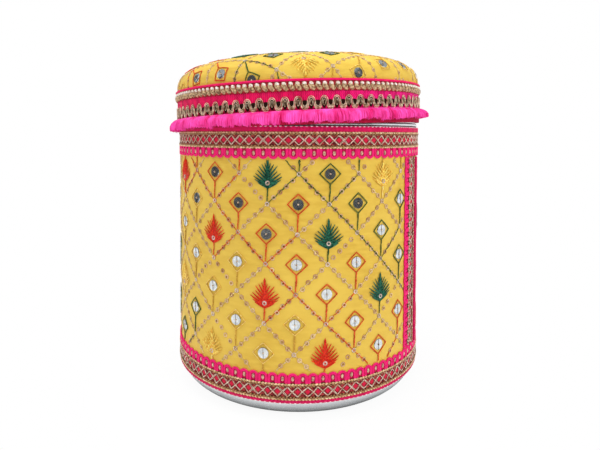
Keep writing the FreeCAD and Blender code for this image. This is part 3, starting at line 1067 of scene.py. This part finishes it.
def lidBand(name):
    return band(name, lidRing, bands["steps"], *bands[name], bands["square"])


lidTrim("lidRibbon", lidBand("ribbon"), "ribbonKnit", "lid_ribbon", True)
lidTrim("fringeTape", lidBand("heading"), "crimsonTape", "fringe_tape", True)

lidPiping = {"radius": 0.68 * mm, "sides": 10, "steps": 240, "out": 0.8 * mm, "up": 0.7 * mm}


def buildPiping():
    bm = bmesh.new()
    bmesh.ops.create_circle(bm, segments=lidPiping["sides"], radius=lidPiping["radius"])
    upright = Matrix.Rotation(quarterTurn, 3, "X")
    bmesh.ops.rotate(bm, cent=(0, 0, 0), matrix=upright, verts=bm.verts)
    middle = (lid["cloth"] + lidPiping["out"], 0, lid["ropeTop"] + lidPiping["up"])
    bmesh.ops.translate(bm, vec=middle, verts=bm.verts)
    turned(bm, lidPiping["steps"])
    mesh = meshOf(bm, "lidPiping")
    mesh.transform(lidPlace)
    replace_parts(addPiece("lidPiping", mesh, "pinkCord", "lid"), "lid_piping")


buildPiping()

rope = {
    "units": 140,
    "bead": (2.7 * mm, 2.1 * mm, 1.9 * mm),
    "beadDrop": 1.2 * mm,
    "beadHeight": 0.75 * mm,
    "beadTurn": -0.45,
    "tail": 1.42 * mm,
}


def buildRope():
    pitch = lidRing / rope["units"]
    top = lid["ropeTop"]
    middle = (lid["ropeBottom"] + top) / 2
    tails = []
    beads = []
    for index in range(rope["units"]):
        x = index * pitch
        beads.append(shifted(x, top - rope["beadDrop"], rope["beadHeight"], rope["beadTurn"]))
        tails.append([
            (x - 1.2 * mm, top - 1.5 * mm, 0.3 * mm, 0.6),
            (x - 0.2 * mm, middle + 0.2 * mm, 0.45 * mm, 1.0),
            (x + 0.8 * mm, middle - 0.9 * mm, 0.45 * mm, 1.0),
            (x + 1.8 * mm, lid["ropeBottom"] + 0.6 * mm, 0.3 * mm, 0.7),
        ])
    # the rounded top of each unit is painted near white, a painted highlight on the gold braid
    ropeHighlightBead = bead("ropeHighlightBead", *rope["bead"])
    lidTrim("ropeHighlightBeads", stamped("beads", ropeHighlightBead, beads), "paintedHighlightGold")
    lidTrim("ropeTails", strands("tails", tails, rope["tail"], 2), "antiqueGold", "lid_rope")
    # the band under the rope is the braid's ground, darkened as painted shade in the slits between strokes
    lidTrim("ropeCoreAndSlitShade", lidBand("core"), "ropeGroundAndSlitShade", None, True)


buildRope()

arch = {
    "units": 73,
    "middle": lid["fringeTop"] + 2.9 * mm,
    "rise": 3.25 * mm,
    "bulge": 0.06,
    "wire": 0.2 * mm,
    "height": 1.0 * mm,
    "inner": (0.6 * mm, 1.6 * mm),
    "innerShare": 0.65,
    "links": ((1.95 * mm, 1.95 * mm), (1.4 * mm, 1.4 * mm), (0.8 * mm, 0.85 * mm)),
    "linkShare": 0.85,
    "gap": 0.42 * mm,
    "steps": 16,
    "skew": 1.2 * mm,
    # dark blots of painted shade in the lace's holes: share of the pitch, way up, height, half width and
    # half height in mm
    "holeShades": (
        (0.0, 0.4 * mm, 0.55 * mm, 1.85, 2.75),
        (0.5, 0.4 * mm, 0.6 * mm, 1.6, 1.2),
        (0.5, -1.3 * mm, 0.6 * mm, 1.3, 1.4),
        (0.0, -2.2 * mm, 0.6 * mm, 0.9, 0.8),
    ),
}
archPitch = lidRing / arch["units"]


def skewed(mesh):
    # lace and fringe are sewn on a little askew, higher at the right
    for vertex in mesh.vertices:
        vertex.co.y += arch["skew"] * math.sin(vertex.co.x / lid["cloth"])
    return mesh


def archWave(turn):
    # a meander of round arches and hanging links; one turn is one arch
    along = turn + arch["bulge"] * math.sin(2 * fullTurn * turn)
    return Vector((along * archPitch, arch["middle"] + arch["rise"] * math.cos(fullTurn * turn)))


def buildArches():
    wires = []
    for side in (-1, 1):
        path = []
        for step in range(arch["units"] * arch["steps"] + 1):
            turn = step / arch["steps"] - arch["units"] / 2
            run = (archWave(turn + 0.01) - archWave(turn - 0.01)).normalized()
            spot = archWave(turn) + Vector((-run.y, run.x)) * side * arch["gap"]
            path.append((spot.x, spot.y, arch["height"]))
        wires.append(path)
    holeShades = []
    for index in range(arch["units"]):
        x = (index - arch["units"] // 2) * archPitch
        inner = oval(x, arch["middle"] + 0.1 * mm, *arch["inner"], 0.9 * mm, 270, -90, 12)
        wires.append([(*spot, arch["innerShare"]) for spot in inner])
        for size in arch["links"]:
            bow = oval(x + archPitch / 2, arch["middle"] - 0.9 * mm, *size, arch["height"], 175, 365, 8)
            wires.append([(*spot, arch["linkShare"]) for spot in bow])
        for share, up, height, wide, tall in arch["holeShades"]:
            place = shifted(x + share * archPitch, arch["middle"] + up, height)
            holeShades.append(place @ Matrix.Diagonal((wide, tall, 1, 1)))
    mesh = skewed(strands("wires", wires, arch["wire"], 1))
    lidTrim("archWires", mesh, "wireGold", "lid_loop_lace")
    # black ovals as painted shade in the holes under the arches and links
    plate = bead("plate", 2 * mm, 2 * mm, 0.3 * mm, 10, 4)
    lidTrim("archHoleShades", skewed(stamped("holeShades", plate, holeShades)), "holeShadeBlack")


buildArches()

fringe = {
    "tufts": 150,
    "strands": 36,
    "steps": 4,
    "root": lid["fringeTop"] - 0.8 * mm,
    "reach": 5.2 * mm,
    "drop": 8.2 * mm,
    "hair": 0.28 * mm,
    "out": 0.6 * mm,
    "coreOut": 0.5 * mm,
    "coreDrop": 0.62,  # shares of drop and reach
    "coreReach": 0.8,
    "coreFolds": 24,
}


def fringeBend(share):
    # how far out and how far down a hair has gone, as shares of its reach and drop
    out = math.sin(share * 1.75) ** 0.9 if share else 0.0
    return out, share ** 1.55


def fringeHairs():
    rng = random.Random(31)
    hairs = []
    for tuft in range(fringe["tufts"]):
        middle = lidRing * (tuft + rng.uniform(-0.25, 0.25)) / fringe["tufts"]
        lean = rng.uniform(-0.7, 0.7) * mm
        size = rng.uniform(0.84, 1.06)
        turn = math.sin(middle / lid["cloth"])
        droop = 1 - 0.22 * max(turn, 0) ** 1.5  # pressed up at the right
        flare = 1 - 0.16 * max(-turn, 0) ** 1.5
        for hair in range(fringe["strands"]):
            side = rng.uniform(-2.4, 2.4) * mm
            layer = math.sqrt(rng.random())
            reach = (0.9 * mm + fringe["reach"] * layer) * size * flare
            length = (0.82 + 0.16 * (1 - layer)) * size * droop * rng.uniform(0.92, 1.03)
            drop = fringe["drop"] * length
            path = []
            for share in shares(fringe["steps"]):
                out, fall = fringeBend(share)
                x = middle + side * (1 - 0.2 * share) + lean * share
                y = fringe["root"] - drop * fall
                path.append((x, y, fringe["out"] + reach * out, 1.0 - 0.35 * share))
            hairs.append(path)
    return skewed(strands("fringe", hairs, fringe["hair"]))


def fringeCore(share):
    # a smaller closed ring inside the hair
    drop = fringe["drop"] * fringe["coreDrop"]
    reach = fringe["reach"] * fringe["coreReach"]
    near = fringe["coreOut"]
    if share <= 0.5:
        out, fall = fringeBend(share * 2)
        return fringe["root"] - drop * fall, near + reach * out
    part = (share - 0.5) * 2
    out = near + reach * fringeBend(1)[0]
    return fringe["root"] - drop * (1 - part), out + (near - out) * min(part * 1.6, 1)


lidTrim("lidFringe", fringeHairs(), "pinkFringe", "lid_fringe")
coreRing = skewed(strip("fringeCore", lidRing, bands["steps"], fringeCore, fringe["coreFolds"]))
lidTrim("fringeCore", coreRing, "pinkFringe", None, True)
print("lid trims")


# pieces that keep their built shape

for node, look in {"can_shell": "aluminium", "lid_shell": "aluminium", "lid_pad": "foam"}.items():
    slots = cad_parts[node].data.materials
    slots.clear()
    slots.append(looks[look])


# floor, light and camera

stage = {
    "floor": 1.6,
    "glow": 0.93,
    "fade": (0.07, 0.14),
    # painted shadow on the floor that only reflections see, next to the can's foot
    "dim": (0.0715, 0.0865),  # dark in reflections next to the can's foot
    "world": 0.42,
}


def rayTap(tree, *kinds):
    # rays of any of these kinds
    rays = tree.nodes.new("ShaderNodeLightPath")
    first, *others = (Tap(tree, rays.outputs[f"Is {kind} Ray"]) for kind in kinds)
    return sum(others, first)


def buildFloor():
    bm = bmesh.new()
    bmesh.ops.create_circle(bm, cap_ends=True, segments=96, radius=stage["floor"])
    floor = linked("floor", meshOf(bm, "floor"))
    look = bpy.data.materials.new("floor")
    look.use_nodes = True
    tree = look.node_tree
    tree.nodes.clear()
    place = Tap(tree, tree.nodes.new("ShaderNodeTexCoord").outputs["Object"])
    distance = place.add("ShaderNodeVectorMath", {"operation": "LENGTH"}, {0: place}, "Value")
    matte = place.add("ShaderNodeBsdfDiffuse", values={"Color": (0.95, 0.95, 0.95, 1)})
    mirrored = rayTap(tree, "Glossy")
    seen = rayTap(tree, "Camera", "Transmission")
    # painted shadow: the floor's glow is lowered for glossy rays near the can's foot
    dim = 1 - distance.limited(*stage["dim"])
    white = place.add("ShaderNodeEmission", values={"Color": (1, 1, 1, 1), "Strength": 1 - dim * mirrored})
    away = distance.limited(*stage["fade"])
    fade = (away * (1 - stage["glow"]) + stage["glow"]) * seen + mirrored
    shade = place.add("ShaderNodeMixShader", values={0: fade, 1: matte, 2: white})
    plug(tree, tree.nodes.new("ShaderNodeOutputMaterial"), {"Surface": shade})
    floor.data.materials.append(look)
    return floor


# grey cards that only reflections see: one bent round the front, one overhead
cards = {
    "frontCard": {"reach": 0.4, "bottom": 0.022, "top": 0.34, "from": -104, "to": 66, "level": 0.045},
    "topCard": {"radius": 1.6, "height": 0.72, "level": 0.4},
}


def addCard(name, bm):
    piece = linked(name, meshOf(bm, name))
    piece.visible_camera = False
    piece.visible_diffuse = False
    piece.visible_shadow = False
    piece.data.materials.append(material(name, lambda place, flat: {
        "Base Color": (0, 0, 0, 1),
        "Specular IOR Level": 0,
        "Emission Color": (0.94, 0.98, 1.0, 1),
        "Emission Strength": cards[name]["level"],
    }))
    return piece


def buildFrontCard():
    card = cards["frontCard"]
    bm = bmesh.new()
    bmesh.ops.create_grid(bm, x_segments=24, y_segments=1, size=0.5)
    for vertex in bm.verts:
        turn = math.radians(card["from"] + (card["to"] - card["from"]) * (vertex.co.x + 0.5))
        height = card["bottom"] + (card["top"] - card["bottom"]) * (vertex.co.y + 0.5)
        vertex.co = around(card["reach"], turn, height)
    return addCard("frontCard", bm)


def buildTopCard():
    card = cards["topCard"]
    bm = bmesh.new()
    overhead = Matrix.Translation((0, 0, card["height"]))
    bmesh.ops.create_circle(bm, cap_ends=True, segments=32, radius=card["radius"], matrix=overhead)
    return addCard("topCard", bm)


floor = buildFloor()
frontCard = buildFrontCard()
topCard = buildTopCard()

world = bpy.data.worlds.new("studio")
world.use_nodes = True
scene.world = world
sky = world.node_tree
skySeen = rayTap(sky, "Camera", "Glossy", "Transmission").limited(0, 1)
skyLevel = skySeen.blend([stage["world"]] * 3 + [1], (1, 1, 1, 1))
plug(sky, sky.nodes["Background"], {"Color": skyLevel})

lamps = {
    "key": {"place": (0.75, -0.6, 0.75), "size": 0.7, "power": 6.0, "mirrored": False},
    "fill": {"place": (-0.6, -0.4, 0.9), "size": 0.8, "power": 3.6, "mirrored": True},
    "top": {"place": (-0.12, 0.06, 1.0), "size": 0.9, "power": 6.7, "mirrored": False},
}
lampTarget = Vector((0, 0, 0.1))
for name, lamp in lamps.items():
    light = bpy.data.lights.new(name, "AREA")
    light.shape = "DISK"
    light.size = lamp["size"]
    light.energy = lamp["power"]
    holder = linked(name, light)
    holder.location = lamp["place"]
    holder.rotation_euler = (lampTarget - Vector(lamp["place"])).to_track_quat("-Z", "Y").to_euler()
    holder.visible_camera = False
    holder.visible_glossy = lamp["mirrored"]

shot = {
    "place": (0, -0.3501, 0.1574),
    "lens": 30.14,
    "sensor": 36,
    "pitch": math.radians(90 - 1.82),
    "roll": math.radians(0.24),
    "shift": (0.0021, -0.1253),
}
camera = bpy.data.cameras.new("camera")
camera.lens = shot["lens"]
camera.sensor_width = shot["sensor"]
camera.shift_x, camera.shift_y = shot["shift"]
camera.clip_start = 0.01
viewer = linked("camera", camera)
viewer.location = shot["place"]
aim = Matrix.Rotation(shot["pitch"], 4, "X") @ Matrix.Rotation(shot["roll"], 4, "Z")
viewer.rotation_euler = aim.to_euler()
scene.camera = viewer
scene.view_settings.view_transform = "Standard"

print("scene done")
